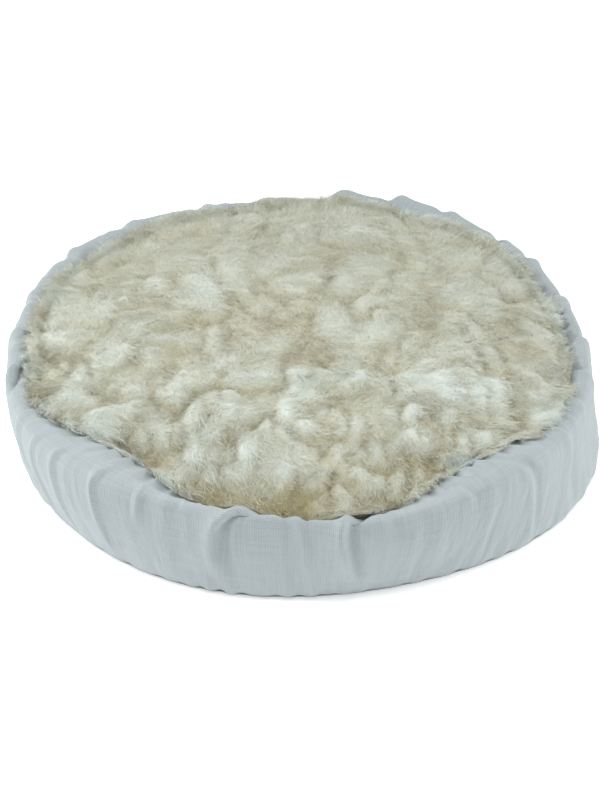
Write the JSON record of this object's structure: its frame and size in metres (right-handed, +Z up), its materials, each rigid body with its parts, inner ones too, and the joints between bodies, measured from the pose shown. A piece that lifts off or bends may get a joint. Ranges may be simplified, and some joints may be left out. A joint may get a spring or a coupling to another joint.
{
  "type": "pet cushion bed",
  "caption": "Round pet bed: a woven bed shell with a soft raised rim and gathered hem, and a loose fleece-topped cushion with a zipped cover.",
  "frame": {"origin": "centre of the underside, on the surface that the bed stands on", "axes": "+Z up through the middle of the bed, -Y to the front, +X along the zip under the cushion"},
  "size_m": [0.498, 0.498, 0.1016],
  "materials": {
    "rim_cloth": "plain-weave cotton and linen cloth, matt",
    "base_cloth": "heavy plain-weave cotton, matt",
    "lining_cloth": "light plain-weave cotton, matt",
    "insert_cloth": "non-woven polypropylene case, matt",
    "wadding": "polyester fibre filling",
    "knit_backing": "knitted pile backing, matt",
    "fleece": "long-pile lambswool-style fleece in loose locks",
    "sewing_thread": "spun polyester sewing thread",
    "elastic": "flat braided elastic",
    "zip_tape": "woven polyester zip tape",
    "zip_coil": "nylon zip coil, satin",
    "zip_metal": "die-cast metal, satin"
  },
  "bodies": {
    "bed_shell": {"base_panel": "base_cloth", "base_wadding": "wadding", "floor_lining": "lining_cloth", "base_seam_thread": "sewing_thread", "rim_cover": "rim_cloth", "rim_lining": "lining_cloth", "rim_filling": "wadding", "hem_casing": "rim_cloth", "rim_elastic": "elastic", "hem_stitching": "sewing_thread"},
    "cushion": {"underside_front": "lining_cloth", "underside_back": "lining_cloth", "cushion_side_band": "rim_cloth", "cushion_seam_thread": "sewing_thread", "insert_case_lower": "insert_cloth", "insert_filling": "wadding", "insert_case_upper": "insert_cloth", "fleece_backing": "knit_backing", "fleece_pile": "fleece", "zip_tape_front": "zip_tape", "zip_tape_back": "zip_tape", "zip_coil_front": "zip_coil", "zip_coil_back": "zip_coil", "zip_stop_closed": "zip_metal", "zip_stop_open": "zip_metal"},
    "zip_slider": {"zip_slider": "zip_metal"}
  },
  "joints": [
    {"name": "cushion_lift", "type": "slide", "parent": "bed_shell", "child": "cushion", "axis": [0, 0, 1], "range_m": [0, 0.14]},
    {"name": "zip_slider_travel", "type": "slide", "parent": "cushion", "child": "zip_slider", "axis": [-1, 0, 0], "range_m": [0, 0.296]}
  ]
}
